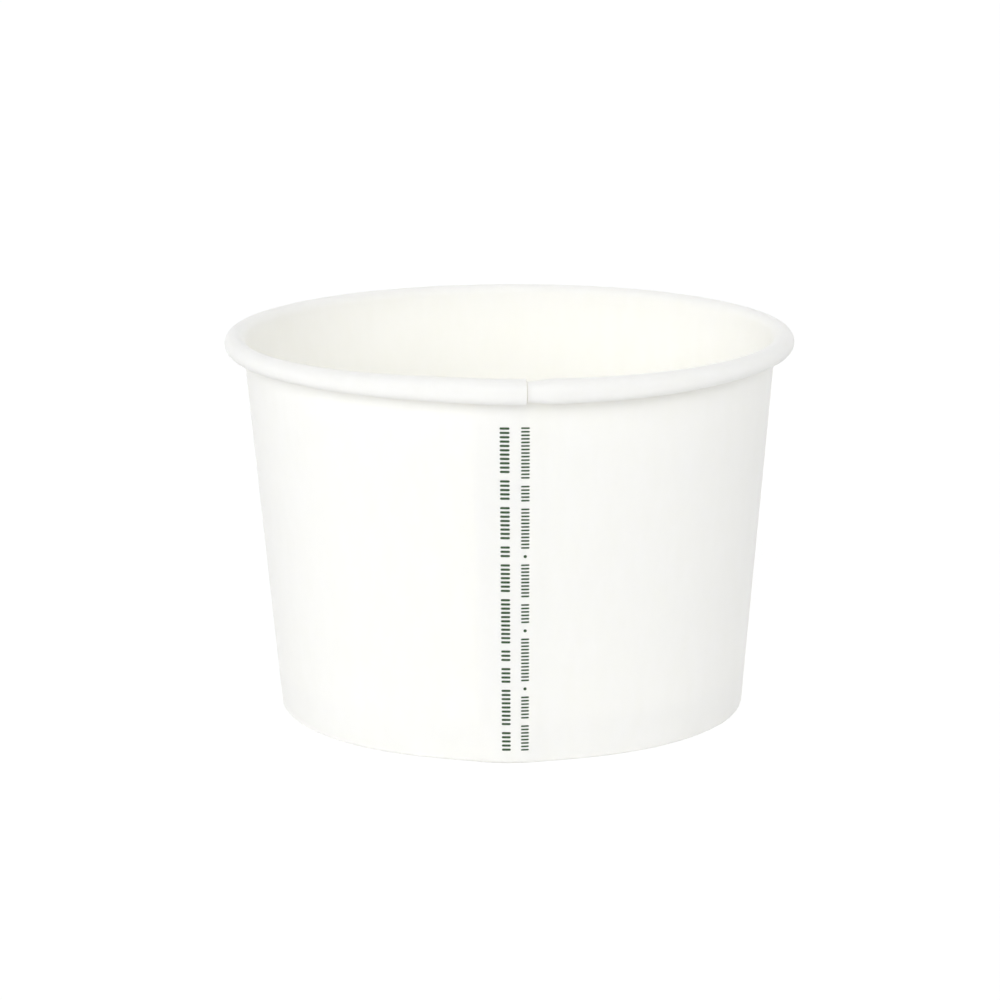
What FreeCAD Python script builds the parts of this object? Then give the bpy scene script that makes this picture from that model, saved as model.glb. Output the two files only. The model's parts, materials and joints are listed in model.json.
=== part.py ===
"""Paper sundae cup: a conical wall of coated board with a rolled rim, and a recessed base.

Millimetres, +Z up. The origin is the middle of the foot, on the surface that the cup stands on.
The side seam faces -Y. Angles round the axis are in degrees from +X, turning towards +Y.
"""

import FreeCAD, Part
import math
import os

from FreeCAD import Vector

# Overall size of the cup
rim_diameter = 90.0  # over the outside of the rolled rim
base_diameter = 74.0  # outside of the wall where it meets the table
cup_height = 60.0

# Board
wall_board = 0.35
base_board = 0.30
seal_gap = 0.02  # sealing layer on each side of the base's skirt

# Rolled rim
roll_width = 3.4  # from the wall's inner face to the outside of the roll
roll_flat = 0.55  # upright stretch of the roll's outside, between its two bends
roll_gap = 0.06  # between the rolled-in edge and the wall, where the seam doubles both

# Side seam
seam_overlap = 7.0  # measured round the outside of the foot
seam_ramp = 3.5  # where the upper layer comes down beside the lower one's raw edge
seam_facing = -90.0

# Foot
hem_height = 5.0
fold_bend = 0.08  # inside radius at each corner of the fold

# Base
panel_clear = 1.7  # from the hem's raw edge up to the underside of the panel
base_bend = 0.7  # outside radius between the panel and the skirt
skirt_rise = 0.15  # from the inside of the fold up to the skirt's raw edge


def heading(angle):
    """Unit vector in the section's plane: x is the distance from the axis, z is up."""
    return Vector(math.cos(math.radians(angle)), 0, math.sin(math.radians(angle)))


class Strip:
    """The section of a sheet of board: a path along one face, with the board on its right."""

    def __init__(self, start, angle):
        self.position = start
        self.angle = angle
        self.pieces = []

    def line(self, length):
        end = self.position + heading(self.angle) * length
        self.pieces.append(("line", self.position, end, self.angle))
        self.position = end

    def turn(self, radius, sweep):
        """Bend the path: a positive sweep turns it left, away from the board."""
        side = math.copysign(1, sweep)
        centre = self.position + heading(self.angle + 90 * side) * radius
        self.pieces.append(("turn", centre, radius, side, self.angle, sweep))
        self.angle += sweep
        self.position = centre - heading(self.angle + 90 * side) * radius

    def edges(self, depth):
        """The path's lines and arcs, moved into the board by depth."""
        made = []
        for kind, *piece in self.pieces:
            if kind == "line":
                start, end, angle = piece
                shift = heading(angle - 90) * depth
                made.append(Part.LineSegment(start + shift, end + shift).toShape())
            else:
                centre, radius, side, angle, sweep = piece
                reach = radius + side * depth
                points = [
                    centre - heading(angle + share * sweep + 90 * side) * reach
                    for share in (0, 0.5, 1)
                ]
                made.append(Part.Arc(*points).toShape())
        return made

    def face(self, near, far):
        """The board between two depths."""
        near_edges = self.edges(near)
        far_edges = self.edges(far)
        start_cap, end_cap = (
            Part.LineSegment(
                near_edges[end].Vertexes[end].Point, far_edges[end].Vertexes[end].Point
            ).toShape()
            for end in (0, -1)
        )
        return Part.Face(Part.Wire(near_edges + [end_cap] + far_edges[::-1] + [start_cap]))


def turned(shape, angle):
    return shape.rotated(Vector(), Vector(0, 0, 1), angle)


def revolved(face, start, sweep):
    """The solid that a section makes round the cup's axis, from one angle through a sweep."""
    return turned(face.revolve(Vector(), Vector(0, 0, 1), sweep), start)


# The wall's inner face runs straight from the foot into the roll's upper bend.
rim_radius = rim_diameter / 2
upper_bend = roll_width / 2
upper_centre = Vector(rim_radius - upper_bend, 0, cup_height - upper_bend)


def wall_taper():
    """The wall's lean from upright, found by trying the last lean's ends until it settles."""
    lean = 0.0
    for _ in range(30):
        top = upper_centre + heading(180 - lean) * upper_bend
        foot = base_diameter / 2 - wall_board / math.cos(math.radians(lean))
        lean = math.degrees(math.atan2(top.x - foot, top.z))
    return lean


taper = wall_taper()
lean_cos = math.cos(math.radians(taper))
lean_tan = math.tan(math.radians(taper))
foot_inside = base_diameter / 2 - wall_board / lean_cos


def inner_face(height):
    """Distance from the axis to the wall's inner face."""
    return foot_inside + height * lean_tan


def on_taper(height, inset=0.0):
    """A point at this height on the wall's inner face, or on a face parallel to it further in."""
    return Vector(inner_face(height) - inset / lean_cos, 0, height)


# The roll's lower bend fills the room between the roll's outside and the doubled wall.
lower_height = upper_centre.z - roll_flat
lower_room = (rim_radius - inner_face(lower_height)) * lean_cos - 2 * wall_board - roll_gap
lower_bend = lower_room / (1 + lean_cos)

# The base's skirt stands in the slot between the wall and the hem.
slot = base_board + 2 * seal_gap
fold_flat = (slot - 2 * fold_bend) / lean_cos
floor_height = hem_height + panel_clear + base_board


def wall_section(layers):
    """The wall's path: down the hem, round the fold, up the wall and through the rolled rim.

    Where the seam doubles the board, the inside of the fold is one board higher.
    """
    wall_foot = on_taper(layers * wall_board + fold_bend * (1 - math.sin(math.radians(taper))))
    wall_top = upper_centre + heading(180 - taper) * upper_bend
    hem_foot = wall_foot - heading(-taper) * 2 * fold_bend - Vector(fold_flat, 0, 0)
    hem_length = (hem_height - hem_foot.z) / lean_cos
    path = Strip(hem_foot + heading(90 - taper) * hem_length, -90 - taper)
    path.line(hem_length)
    path.turn(fold_bend, 90 + taper)
    path.line(fold_flat)
    path.turn(fold_bend, 90 - taper)
    path.line(wall_foot.distanceToPoint(wall_top))
    path.turn(upper_bend, taper - 180)
    path.line(roll_flat)
    path.turn(lower_bend, -180 - taper)
    path.line(roll_flat)
    return path


def side_wall():
    """One blank, rolled up: its left end lies inside and its right end comes over it at the seam."""
    degrees_each = math.degrees(2 / base_diameter)
    overlap_sweep = seam_overlap * degrees_each
    ramp_sweep = seam_ramp * degrees_each
    outer_edge = seam_facing - overlap_sweep / 2
    inner_edge = seam_facing + overlap_sweep / 2
    ramp_end = inner_edge + ramp_sweep
    single = wall_section(1).face(0, wall_board)
    double = wall_section(2).face(0, 2 * wall_board)
    upper_layer = wall_section(2).face(wall_board, 2 * wall_board)
    overlap = revolved(double, outer_edge, overlap_sweep)
    ramp_ends = [turned(upper_layer, inner_edge), turned(single, ramp_end)]
    ramp = Part.makeLoft([end.OuterWire for end in ramp_ends], True, True)
    body = revolved(single, ramp_end, 360 - overlap_sweep - ramp_sweep)
    return body.fuse([overlap, ramp]).removeSplitter()


def base_disc():
    """The drawn base: a flat panel, and a skirt that follows the wall down into the fold."""
    corner_end = on_taper(floor_height - base_bend, seal_gap + base_bend)
    skirt_edge = 2 * wall_board + skirt_rise
    path = Strip(Vector(0, 0, floor_height), 0)
    path.line(corner_end.x)
    path.turn(base_bend, -90 - taper)
    path.line((path.position.z - skirt_edge) / lean_cos)
    return revolved(path.face(0, base_board), 0, 360)


os.makedirs("parts", exist_ok=True)
side_wall().exportStep("parts/side_wall.step")
base_disc().exportStep("parts/base_disc.step")
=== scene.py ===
"""A white paper sundae cup with a rolled rim, on a pale floor in soft light.

Metres, +Z up, in the part's own frame: the foot stands at zero and the side seam faces -Y.
A bearing is an angle round the cup in degrees, from the seam's middle, growing towards +X.
"""

import json
import math

import bmesh
import bpy
import numpy as np
from mathutils import Matrix, Vector


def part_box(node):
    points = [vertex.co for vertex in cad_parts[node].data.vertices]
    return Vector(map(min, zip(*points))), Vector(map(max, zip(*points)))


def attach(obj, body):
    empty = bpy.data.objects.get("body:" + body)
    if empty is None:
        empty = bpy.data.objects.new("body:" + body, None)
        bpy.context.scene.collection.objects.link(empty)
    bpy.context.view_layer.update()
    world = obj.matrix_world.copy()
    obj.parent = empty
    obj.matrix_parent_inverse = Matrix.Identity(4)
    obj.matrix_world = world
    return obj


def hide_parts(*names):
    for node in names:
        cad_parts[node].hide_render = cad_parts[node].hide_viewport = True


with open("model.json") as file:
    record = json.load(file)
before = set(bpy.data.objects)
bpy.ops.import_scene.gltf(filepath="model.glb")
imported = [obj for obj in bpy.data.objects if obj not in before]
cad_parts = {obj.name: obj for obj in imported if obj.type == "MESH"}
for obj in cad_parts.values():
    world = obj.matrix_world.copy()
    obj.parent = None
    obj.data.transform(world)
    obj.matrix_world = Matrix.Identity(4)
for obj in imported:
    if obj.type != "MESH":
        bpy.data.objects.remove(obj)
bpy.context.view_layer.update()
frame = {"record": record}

MM = 0.001

# Sizes of the cup, as the part has them
rim_radius = frame["record"]["mounts"][1]["dims"]["r_mm"] * MM
cup_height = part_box("side_wall")[1][2]
foot_radius = 37.0 * MM
wall_board = 0.35 * MM
base_board = 0.30 * MM
seal_gap = 0.02 * MM
roll_width = 3.4 * MM
roll_flat = 0.55 * MM
roll_gap = 0.06 * MM
hem_height = 5.0 * MM
fold_bend = 0.08 * MM
panel_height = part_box("base_disc")[1][2]
base_bend = 0.7 * MM
skirt_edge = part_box("base_disc")[0][2]

# The seam, its angles in degrees round the foot
seam_half = math.degrees(3.5 * MM / foot_radius)
seam_ramp = math.degrees(3.5 * MM / foot_radius)
seam_press = 4.5  # the last degrees of the lap, pressed flat at the foot
cut_slant = math.degrees(0.12 * MM / foot_radius)  # the seam's raw edges aren't cut quite square
outer_cut_share = 0.25  # the outer raw edge slants by this share of it
lap_gap = 0.015 * MM  # the seal between the seam's two layers

# Where this cup departs from the true round shape
foot_forward = 0.42 * MM  # the foot stands in front of the rim's middle
foot_aside = 0.26 * MM  # and to its right
corner_size = 0.95 * MM  # a soft corner at the seam
corner_bearing = 1.5
corner_width = 10
corner_fade = 0.6  # the share of it that is gone at the rim
flats_size = 0.5 * MM  # a flat on either side of the corner
flats_width = 38
flats_fade = 0.3
spread_size = 0.22 * MM  # the radius gains this much more from foot to rim
sway_size = 0.12 * MM  # the rim is a little oval
sway_turn = 40
ripple_size = 0.03 * MM
ripple_count = 7
ripple_twist = 90
wave_size = 0.33 * MM  # the rim is drawn up beside the seam
wave_bearing = -8
wave_width = 24

# How the roll changes round the cup
swell_share = 0.04  # fuller at the seam, and thinner behind by as much
swell_bearing = 3.0
swell_width = 12.0
thin_behind = 90  # degrees from the flat's middle to where the roll is thinnest
flat_bearing = 6
flat_lost = 0.9  # the share of the roll's flat that is gone far from the seam
flat_half = 12
flat_fade = 45

# The print: groups of strokes from the foot up, where 0 is a dot
print_low = 2.0 * MM
print_high = 52.7 * MM
ink_film = 0.012 * MM
dot_share = 1.9  # a dot's width in stroke thicknesses
bold_column = {
    "bearing": 1.0, "pitch": 0.66 * MM, "length": 1.3 * MM, "thickness": 0.34 * MM,
    "groups": [5, 9, 4, 3, 11, 7, 3, 8, 5, 11],
}
fine_column = {
    "bearing": 5.2, "pitch": 0.54 * MM, "length": 1.15 * MM, "thickness": 0.25 * MM,
    "groups": [8, 7, 0, 13, 0, 6, 10, 0, 12, 5, 15],
}

# Colours
board_light, board_dark = (0.953, 0.946, 0.904), (0.940, 0.932, 0.888)
fibre_light, fibre_dark = (0.84, 0.81, 0.75), (0.66, 0.62, 0.55)
ink_light, ink_dark = (0.052, 0.105, 0.045), (0.022, 0.060, 0.020)
floor_pale = (0.9, 0.9, 0.9, 1)
white = (1, 1, 1, 1)

# The photograph's camera, fitted to the cup's outline
camera_distance = 560.8 * MM
camera_height = 159.47 * MM
camera_lens = 129.77
camera_sensor = 36
camera_clip = 10 * MM
camera_bearing = 2.0
camera_pitch = 12.775
camera_yaw = -0.159
camera_roll = -0.264

# The light
lamp_angle = 40
lamps = [  # name, bearing from the camera, height above the horizon in degrees, strength
    ("key", -24, 25, 1.21),
    ("front", 5, 25, 0.565),
    ("left", -75, 22, 0.435),
    ("right", 80, 27, 0.685),
]
backdrop_light = 1.10
backdrop_lift = 0.14
dim_light = 0.23  # from all round
floor_half = 4.0
floor_glow = 1.06
shadow_share = 0.16
light_bounces = 8  # light goes to and fro inside a white cup

# How finely the meshes are cut
wall_columns = 480
base_columns = 240
sharp_angle = 50


def smooth(share):
    """0 to 1 with level ends, for a share that runs from 0 to 1 and is held outside that."""
    share = np.clip(share, 0, 1)
    return share * share * (3 - 2 * share)


def turned(bearing, middle):
    """Degrees from a middle to a bearing, whichever way round the cup is shorter."""
    return (bearing - middle + 180) % 360 - 180


def bump_at(bearing, middle, width):
    """A bell round a bearing, 1 at its middle."""
    return np.exp(-((turned(bearing, middle) / width) ** 2))


def out_of_round(bearing, height):
    """How far the board stands outside a true circle: a soft corner at the seam, flats beside it.

    The foot also stands a little forward and to the right of the rim.
    """
    rise = height / cup_height
    turn = np.radians(bearing)
    stance = (foot_forward * np.cos(turn) + foot_aside * np.sin(turn)) * (1 - rise)
    corner = corner_size * bump_at(bearing, corner_bearing, corner_width)
    flats = flats_size * bump_at(bearing, corner_bearing, flats_width)
    sway = sway_size * np.sin(np.radians(2 * bearing + sway_turn)) * rise
    ripple = ripple_size * np.sin(np.radians(ripple_count * bearing + ripple_twist * rise))
    spread = spread_size * (rise - 0.5)
    faded = corner * (1 - corner_fade * rise) - flats * (1 - flats_fade * rise)
    return faded + spread + stance + sway + ripple


def rim_wave(bearing, height):
    """How far the board is drawn up beside the seam, most at the rim."""
    return wave_size * bump_at(bearing, wave_bearing, wave_width) * height / cup_height


class BoardPath:
    """A walk along the board's food side, for all columns of a mesh at once, board on the right.

    Each row holds the distance from the axis, the height, and the direction into the board.
    """

    def __init__(self, reach, height, angle):
        self.reach = reach
        self.height = height
        self.angle = angle
        self.rows = []
        self.mark()

    def mark(self):
        self.rows.append((self.reach, self.height, np.sin(self.angle), -np.cos(self.angle)))

    def line(self, length, steps):
        for _ in range(steps):
            self.reach = self.reach + np.cos(self.angle) * length / steps
            self.height = self.height + np.sin(self.angle) * length / steps
            self.mark()

    def turn(self, radius, sweep, steps):
        """Bend by a sweep in radians: positive turns left, away from the board."""
        side = math.copysign(1, sweep)
        for _ in range(steps):
            centre_reach = self.reach - side * radius * np.sin(self.angle)
            centre_height = self.height + side * radius * np.cos(self.angle)
            self.angle = self.angle + sweep / steps
            self.reach = centre_reach + side * radius * np.sin(self.angle)
            self.height = centre_height - side * radius * np.cos(self.angle)
            self.mark()

    def points(self, depth):
        """Reach and height of every row at a depth into the board, as rows by columns."""
        rows = [np.broadcast_arrays(*row, depth) for row in self.rows]
        reach = np.array([r + inward * d for r, _, inward, _, d in rows])
        height = np.array([h + down * d for _, h, _, down, d in rows])
        return reach, height

    def ring(self, depth, board):
        """Reach and height down the food side and back up the other, as columns by places."""
        food_reach, food_height = self.points(depth)
        back_reach, back_height = self.points(depth + board)
        reach = np.concatenate([food_reach, back_reach[::-1]])
        height = np.concatenate([food_height, back_height[::-1]])
        return reach.T, height.T


def wall_lean():
    """The wall's lean in radians, from the foot's outer edge into the roll's upper bend."""
    bend = roll_width / 2
    lean = 0.0
    for _ in range(30):
        top = rim_radius - bend - bend * math.cos(lean)
        rise = cup_height - bend + bend * math.sin(lean)
        lean = math.atan2(top - (foot_radius - wall_board / math.cos(lean)), rise)
    return lean


lean = wall_lean()
foot_inside = foot_radius - wall_board / math.cos(lean)
skirt_slot = base_board + 2 * seal_gap


def inner_face(height):
    """Distance from the axis to the wall's inner face."""
    return foot_inside + height * math.tan(lean)


def wall_path(lift, swell, upright):
    """The wall's path from the hem's raw edge to the rolled-in edge.

    Lift is how many further layers of board lie under the fold, swell scales the roll, and
    upright is the share of the roll's flat that it keeps.
    """
    fold_flat = (skirt_slot - 2 * fold_bend) / math.cos(lean)
    foot_rise = (1 + lift) * wall_board + lift * lap_gap
    wall_foot = foot_rise + fold_bend * (1 - math.sin(lean))
    hem_reach = inner_face(wall_foot) - 2 * fold_bend * math.cos(lean) - fold_flat
    hem_foot = wall_foot + 2 * fold_bend * math.sin(lean)
    hem_length = (hem_height - hem_foot) / math.cos(lean)
    path = BoardPath(
        hem_reach + hem_length * math.sin(lean),
        hem_foot + hem_length * math.cos(lean),
        -math.pi / 2 - lean,
    )
    path.line(hem_length, steps=5)
    path.turn(fold_bend, math.pi / 2 + lean, steps=4)
    path.line(fold_flat, steps=1)
    path.turn(fold_bend, math.pi / 2 - lean, steps=4)
    upper_bend = roll_width / 2 * swell
    wall_top = cup_height - upper_bend * (1 - math.sin(lean))
    path.line((wall_top - wall_foot) / math.cos(lean), steps=26)
    roll_outside = path.reach + upper_bend * (1 + math.cos(lean))
    path.turn(upper_bend, lean - math.pi, steps=18)
    path.line(roll_flat * swell * upright, steps=2)
    across = (roll_outside - inner_face(path.height)) * math.cos(lean)
    room = across - 2 * wall_board - roll_gap
    path.turn(room / (1 + math.cos(lean)), -math.pi - lean, steps=14)
    path.line(roll_flat * swell * upright, steps=1)
    return path


def roll_shape(bearing):
    """The roll's scale, and the share of its flat that it keeps."""
    away = np.abs(turned(bearing, flat_bearing))
    fuller = swell_share * bump_at(bearing, swell_bearing, swell_width)
    swell = 1.0 + fuller - swell_share * smooth(away / thin_behind)
    upright = 1 - flat_lost * smooth((away - flat_half) / flat_fade)
    return swell, upright


def on_cup(bearing, reach, height):
    """Points of the cup from their bearing, distance from the axis and height."""
    turn = np.radians(bearing - 90)
    reach = reach + out_of_round(bearing, height)
    height = height + rim_wave(bearing, height)
    return np.stack([reach * np.cos(turn), reach * np.sin(turn), height], axis=-1)


def mesh_object(name, vertices, faces, material_numbers, materials):
    """A smooth-shaded object with sharp edges where its faces meet at a steep angle."""
    mesh = bpy.data.meshes.new(name)
    mesh.from_pydata([tuple(v) for v in vertices], [], [tuple(f) for f in faces])
    for material in materials:
        mesh.materials.append(material)
    mesh.polygons.foreach_set("material_index", material_numbers)
    mesh.polygons.foreach_set("use_smooth", [True] * len(mesh.polygons))
    work = bmesh.new()
    work.from_mesh(mesh)
    bmesh.ops.recalc_face_normals(work, faces=work.faces)
    for edge in work.edges:
        if len(edge.link_faces) == 2 and edge.calc_face_angle() > math.radians(sharp_angle):
            edge.smooth = False
    work.to_mesh(mesh)
    work.free()
    piece = bpy.data.objects.new(name, mesh)
    bpy.context.scene.collection.objects.link(piece)
    return piece


def ride(piece):
    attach(piece, "root")


class Nodes:
    """The node tree of a material or world, with short calls that add and link its nodes."""

    def __init__(self, owner):
        self.owner = owner
        owner.use_nodes = True
        self.tree = owner.node_tree
        self.tree.nodes.clear()

    def add(self, kind, inputs=None, **settings):
        node = self.tree.nodes.new(kind)
        for key, value in settings.items():
            setattr(node, key, value)
        for key, value in (inputs or {}).items():
            if isinstance(value, bpy.types.NodeSocket):
                self.tree.links.new(value, node.inputs[key])
            else:
                node.inputs[key].default_value = value
        return node

    def math(self, operation, *values):
        node = self.add("ShaderNodeMath", dict(enumerate(values)), operation=operation)
        return node.outputs[0]

    def noise(self, vector, scale, detail, roughness):
        inputs = {"Vector": vector, "Scale": scale, "Detail": detail, "Roughness": roughness}
        return self.add("ShaderNodeTexNoise", inputs).outputs["Fac"]

    def ramp(self, value, low, high, low_colour, high_colour):
        """A colour that goes from one to the other as a value goes from low to high."""
        node = self.add("ShaderNodeValToRGB", {"Fac": value})
        ends = node.color_ramp.elements
        ends[0].position, ends[0].color = low, (*low_colour, 1)
        ends[1].position, ends[1].color = high, (*high_colour, 1)
        return node.outputs["Color"]

    def bump(self, height, distance, normal=None):
        inputs = {"Height": height, "Distance": distance, "Strength": 1.0}
        if normal is not None:
            inputs["Normal"] = normal
        return self.add("ShaderNodeBump", inputs).outputs["Normal"]

    def stretched(self, x, y, z):
        """The object's own coordinates, scaled along each axis."""
        place = self.add("ShaderNodeTexCoord").outputs["Object"]
        return self.add("ShaderNodeMapping", {"Vector": place, "Scale": (x, y, z)}).outputs[0]

    def output(self, shader):
        self.add("ShaderNodeOutputMaterial", {"Surface": shader})
        return self.owner


def coated_board(name):
    """White board under a thin satin coating: faint fibre cloud, fine tooth and a soft sheen."""
    nodes = Nodes(bpy.data.materials.new(name))
    place = nodes.stretched(1, 1, 1)
    along = nodes.stretched(1, 1, 0.35)
    cloud = nodes.noise(along, scale=420, detail=4, roughness=0.6)
    tooth = nodes.noise(place, scale=2600, detail=3, roughness=0.6)
    swell = nodes.noise(place, scale=60, detail=2, roughness=0.5)
    relief = nodes.bump(tooth, distance=0.006 * MM)
    shader = nodes.add("ShaderNodeBsdfPrincipled", {
        "Base Color": nodes.ramp(cloud, 0.3, 0.7, board_dark, board_light),
        "Roughness": nodes.math("MULTIPLY_ADD", cloud, 0.12, 0.46),
        "Normal": nodes.bump(swell, distance=0.04 * MM, normal=relief),
        "Specular IOR Level": 0.1,
        "Subsurface Weight": 1.0,
        "Subsurface Scale": 0.2 * MM,
        "Subsurface Radius": (1.0, 1.0, 0.97),
    })
    return nodes.output(shader.outputs[0])


def raw_board(name):
    """The cut edge of the board, where its fibres show."""
    nodes = Nodes(bpy.data.materials.new(name))
    fibres = nodes.noise(nodes.stretched(1, 1, 1), scale=3500, detail=4, roughness=0.7)
    shader = nodes.add("ShaderNodeBsdfPrincipled", {
        "Base Color": nodes.ramp(fibres, 0.25, 0.75, fibre_dark, fibre_light),
        "Roughness": 0.85,
        "Normal": nodes.bump(fibres, distance=0.03 * MM),
    })
    return nodes.output(shader.outputs[0])


def green_ink(name):
    """Dark green print, a little uneven where it took to the board."""
    nodes = Nodes(bpy.data.materials.new(name))
    mottle = nodes.noise(nodes.stretched(1, 1, 1), scale=3000, detail=3, roughness=0.6)
    shader = nodes.add("ShaderNodeBsdfPrincipled", {
        "Base Color": nodes.ramp(mottle, 0.3, 0.75, ink_dark, ink_light),
        "Roughness": nodes.math("MULTIPLY_ADD", mottle, 0.15, 0.45),
        "Normal": nodes.bump(mottle, distance=0.004 * MM),
    })
    return nodes.output(shader.outputs[0])


def side_wall(face_material, edge_material):
    """One blank, rolled from its inner raw edge, clockwise from above, to its outer one."""
    travel = np.linspace(0, 360 + 2 * seam_half, wall_columns)
    bearing = seam_half - travel
    leaves_lap = smooth((travel - 2 * seam_half) / seam_press + 1)
    climbs = smooth((travel - 360 + seam_ramp) / seam_ramp)
    lift = 1 - leaves_lap + climbs
    depth = climbs * (wall_board + lap_gap)
    reach, height = wall_path(lift, *roll_shape(bearing)).ring(depth, wall_board)
    ring = reach.shape[1]
    rows = ring // 2
    places = np.repeat(bearing[:, None], ring, axis=1)
    places[0, :rows] -= cut_slant
    places[-1, rows:] += cut_slant * outer_cut_share
    vertices = on_cup(places, reach, height).reshape(-1, 3)
    faces, numbers = [], []
    for column in range(wall_columns - 1):
        here, there = column * ring, (column + 1) * ring
        for row in range(ring):
            after = (row + 1) % ring
            faces.append((here + row, here + after, there + after, there + row))
            numbers.append(1 if row in (rows - 1, ring - 1) else 0)
    for first in (0, (wall_columns - 1) * ring):
        for row in range(rows - 1):
            across = ring - 1 - row
            faces.append([first + k for k in (row, row + 1, across - 1, across)])
            numbers.append(1)
    return mesh_object("wall_blank", vertices, faces, numbers, [face_material, edge_material])


def base_disc(face_material, edge_material):
    """The drawn base: a flat panel, a round corner and a skirt down into the fold."""
    bearing = np.linspace(0, 360, base_columns, endpoint=False)
    corner_height = panel_height - base_bend
    corner_reach = inner_face(corner_height) - (seal_gap + base_bend) / math.cos(lean)
    first_reach = 0.4 * MM
    path = BoardPath(first_reach, panel_height, 0.0)
    path.line(corner_reach - first_reach, steps=24)
    path.turn(base_bend, -math.pi / 2 - lean, steps=8)
    path.line((path.height - skirt_edge) / math.cos(lean), steps=6)
    reach, height = path.ring(np.zeros(base_columns), base_board)
    ring = reach.shape[1]
    rows = ring // 2
    vertices = on_cup(bearing[:, None], reach, height).reshape(-1, 3)
    middle = [(0, 0, panel_height), (0, 0, panel_height - base_board)]
    vertices = np.concatenate([vertices, middle])
    top_middle, under_middle = len(vertices) - 2, len(vertices) - 1
    faces, numbers = [], []
    for column in range(base_columns):
        here, there = column * ring, (column + 1) % base_columns * ring
        for row in range(ring - 1):
            faces.append((here + row, here + row + 1, there + row + 1, there + row))
            numbers.append(1 if row == rows - 1 else 0)
        faces.append((top_middle, here, there))
        faces.append((under_middle, there + ring - 1, here + ring - 1))
        numbers += [0, 0]
    return mesh_object("base_blank", vertices, faces, numbers, [face_material, edge_material])


def outside_reach(bearing, height):
    """Distance from the axis to the wall's outside, on the seam's upper layer and beside it."""
    upper = 1 - smooth((bearing - seam_half) / seam_ramp)
    depth = wall_board + upper * (wall_board + lap_gap)
    return inner_face(height) + depth / math.cos(lean)


def print_mark(vertices, faces, bearing, height, length, thickness):
    """One short stroke round the wall with round ends, as a thin closed film of ink."""
    radius = thickness / 2
    turns = np.radians([20, 45, 70])  # places round each end
    middle = np.linspace(radius - length / 2, length / 2 - radius, 4)
    left_end = middle[0] - radius * np.cos(turns)
    right_end = middle[-1] + radius * np.cos(turns[::-1])
    rounded = radius * np.sin(turns)
    across = np.concatenate([left_end, middle, right_end])
    half_heights = np.concatenate([rounded, np.full(len(middle), radius), rounded[::-1]])
    first = len(vertices)
    for x, half in zip(across, half_heights):
        place = bearing + math.degrees(x / foot_radius)
        for side, end in ((1, 1), (1, -1), (-1, -1), (-1, 1)):
            level = height + end * half
            reach = outside_reach(place, level) + side * ink_film
            vertices.append(tuple(float(v) for v in on_cup(place, reach, level)))
    last = first + 4 * (len(across) - 1)
    for here in range(first, last, 4):
        for k in range(4):
            after = (k + 1) % 4
            faces.append((here + k, here + after, here + 4 + after, here + 4 + k))
    faces.append(range(first, first + 4))
    faces.append(range(last, last + 4))


def print_column(vertices, faces, bearing, pitch, length, thickness, groups):
    """Strokes in groups up the wall."""
    taken = sum(max(count, 1) for count in groups) * pitch
    gap = (print_high - print_low - taken) / (len(groups) - 1)
    height = print_low + pitch / 2
    dot = thickness * dot_share
    for count in groups:
        across, upright = (length, thickness) if count else (dot, dot)
        for _ in range(max(count, 1)):
            print_mark(vertices, faces, bearing, height, across, upright)
            height += pitch
        height += gap


def print_columns(ink):
    """Two upright columns of plain strokes beside the seam, the right one finer, with dots."""
    vertices, faces = [], []
    for column in (bold_column, fine_column):
        print_column(vertices, faces, **column)
    return mesh_object("print_columns", vertices, faces, [0] * len(faces), [ink])


def build():
    wall_face = coated_board("coated_board")
    raw_edge = raw_board("raw_edge")
    wall = side_wall(wall_face, raw_edge)
    ride(wall)
    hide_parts("side_wall")
    base = base_disc(wall_face, raw_edge)
    ride(base)
    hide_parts("base_disc")
    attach(print_columns(green_ink("green_ink")), "root")


def seen_directly(nodes):
    """1 for what the camera sees, also in a mirror or through glass, and 0 elsewhere."""
    path = nodes.add("ShaderNodeLightPath").outputs
    seen = nodes.math("MAXIMUM", path["Is Camera Ray"], path["Is Glossy Ray"])
    return nodes.math("MAXIMUM", seen, path["Is Transmission Ray"])


def floor():
    """A pale floor that shows as white and keeps a faint shadow."""
    nodes = Nodes(bpy.data.materials.new("floor_white"))
    pale = nodes.add("ShaderNodeBsdfDiffuse", {"Color": floor_pale})
    glow = nodes.add("ShaderNodeEmission", {"Strength": floor_glow})
    share = nodes.math("MULTIPLY", seen_directly(nodes), 1 - shadow_share)
    surface = nodes.add("ShaderNodeMixShader", {0: share, 1: pale.outputs[0], 2: glow.outputs[0]})
    material = nodes.output(surface.outputs[0])
    mesh = bpy.data.meshes.new("floor")
    signs = ((-1, -1), (1, -1), (1, 1), (-1, 1))
    corners = [(x * floor_half, y * floor_half, 0) for x, y in signs]
    mesh.from_pydata(corners, [], [(0, 1, 2, 3)])
    mesh.materials.append(material)
    plane = bpy.data.objects.new("floor", mesh)
    bpy.context.scene.collection.objects.link(plane)


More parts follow.
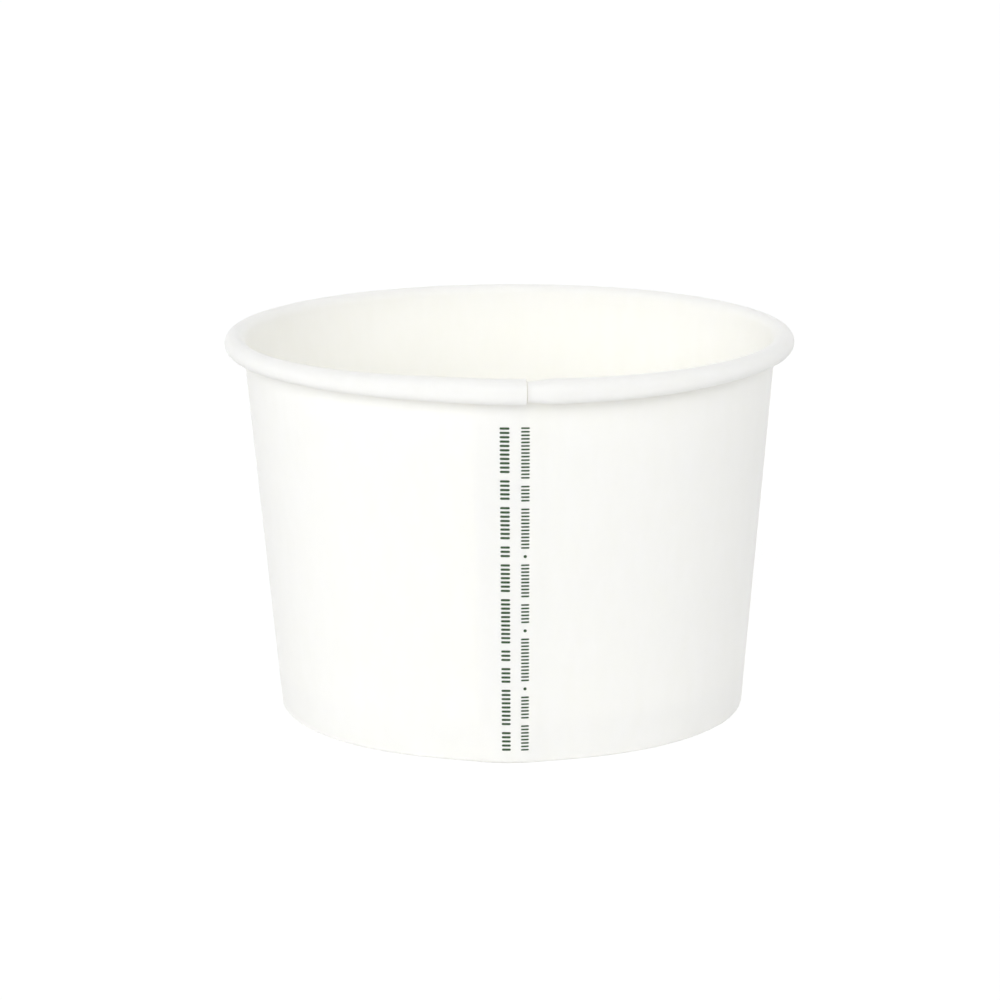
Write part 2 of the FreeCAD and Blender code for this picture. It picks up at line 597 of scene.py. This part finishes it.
def surroundings():
    """White surroundings that light the object from a backdrop behind it and dimly all round."""
    nodes = Nodes(bpy.data.worlds.new("studio"))
    bpy.context.scene.world = nodes.owner
    turn = math.radians(camera_bearing + 90)
    backdrop_aim = (math.cos(turn), math.sin(turn), backdrop_lift)
    direction = nodes.add("ShaderNodeTexCoord").outputs["Generated"]
    facing = nodes.add(
        "ShaderNodeVectorMath", {0: direction, 1: backdrop_aim}, operation="DOT_PRODUCT")
    backdrop = nodes.math("MAXIMUM", facing.outputs["Value"], 0.0)
    light = nodes.math("MULTIPLY_ADD", backdrop, backdrop_light, dim_light)
    short_of_white = nodes.math("SUBTRACT", 1.0, light)
    strength = nodes.math("MULTIPLY_ADD", seen_directly(nodes), short_of_white, light)
    background = nodes.add("ShaderNodeBackground", {"Color": white, "Strength": strength})
    nodes.add("ShaderNodeOutputWorld", {"Surface": background.outputs[0]})


def soft_light(name, bearing, rise, strength):
    """A broad far lamp at a bearing from the camera, left of it where that is negative."""
    data = bpy.data.lights.new(name, "SUN")
    data.angle = math.radians(lamp_angle)
    data.energy = strength
    holder = bpy.data.objects.new(name, data)
    bpy.context.scene.collection.objects.link(holder)
    turn, rise = math.radians(camera_bearing - 90 + bearing), math.radians(rise)
    level = math.cos(rise)
    aim = Vector((math.cos(turn) * level, math.sin(turn) * level, math.sin(rise)))
    holder.rotation_euler = aim.to_track_quat("Z", "Y").to_euler()


def camera():
    """The photograph's view."""
    turn = math.radians(camera_bearing - 90)
    yaw, pitch, roll = (math.radians(a) for a in (camera_yaw, camera_pitch, camera_roll))
    x, y = camera_distance * math.cos(turn), camera_distance * math.sin(turn)
    look = turn + math.pi - yaw
    level = math.cos(pitch)
    forward = Vector((math.cos(look) * level, math.sin(look) * level, -math.sin(pitch)))
    right = forward.cross(Vector((0, 0, 1))).normalized()
    up = right.cross(forward)
    tilted_right = math.cos(roll) * right + math.sin(roll) * up
    tilted_up = math.cos(roll) * up - math.sin(roll) * right
    data = bpy.data.cameras.new("camera")
    data.lens = camera_lens
    data.sensor_width = camera_sensor
    data.clip_start = camera_clip
    holder = bpy.data.objects.new("camera", data)
    bpy.context.scene.collection.objects.link(holder)
    axes = Matrix((tilted_right, tilted_up, -forward)).transposed().to_4x4()
    holder.matrix_world = Matrix.Translation((x, y, camera_height)) @ axes
    bpy.context.scene.camera = holder


build()
floor()
surroundings()
for lamp in lamps:
    soft_light(*lamp)
camera()
bpy.context.scene.view_settings.view_transform = "Standard"
bpy.context.scene.cycles.diffuse_bounces = light_bounces
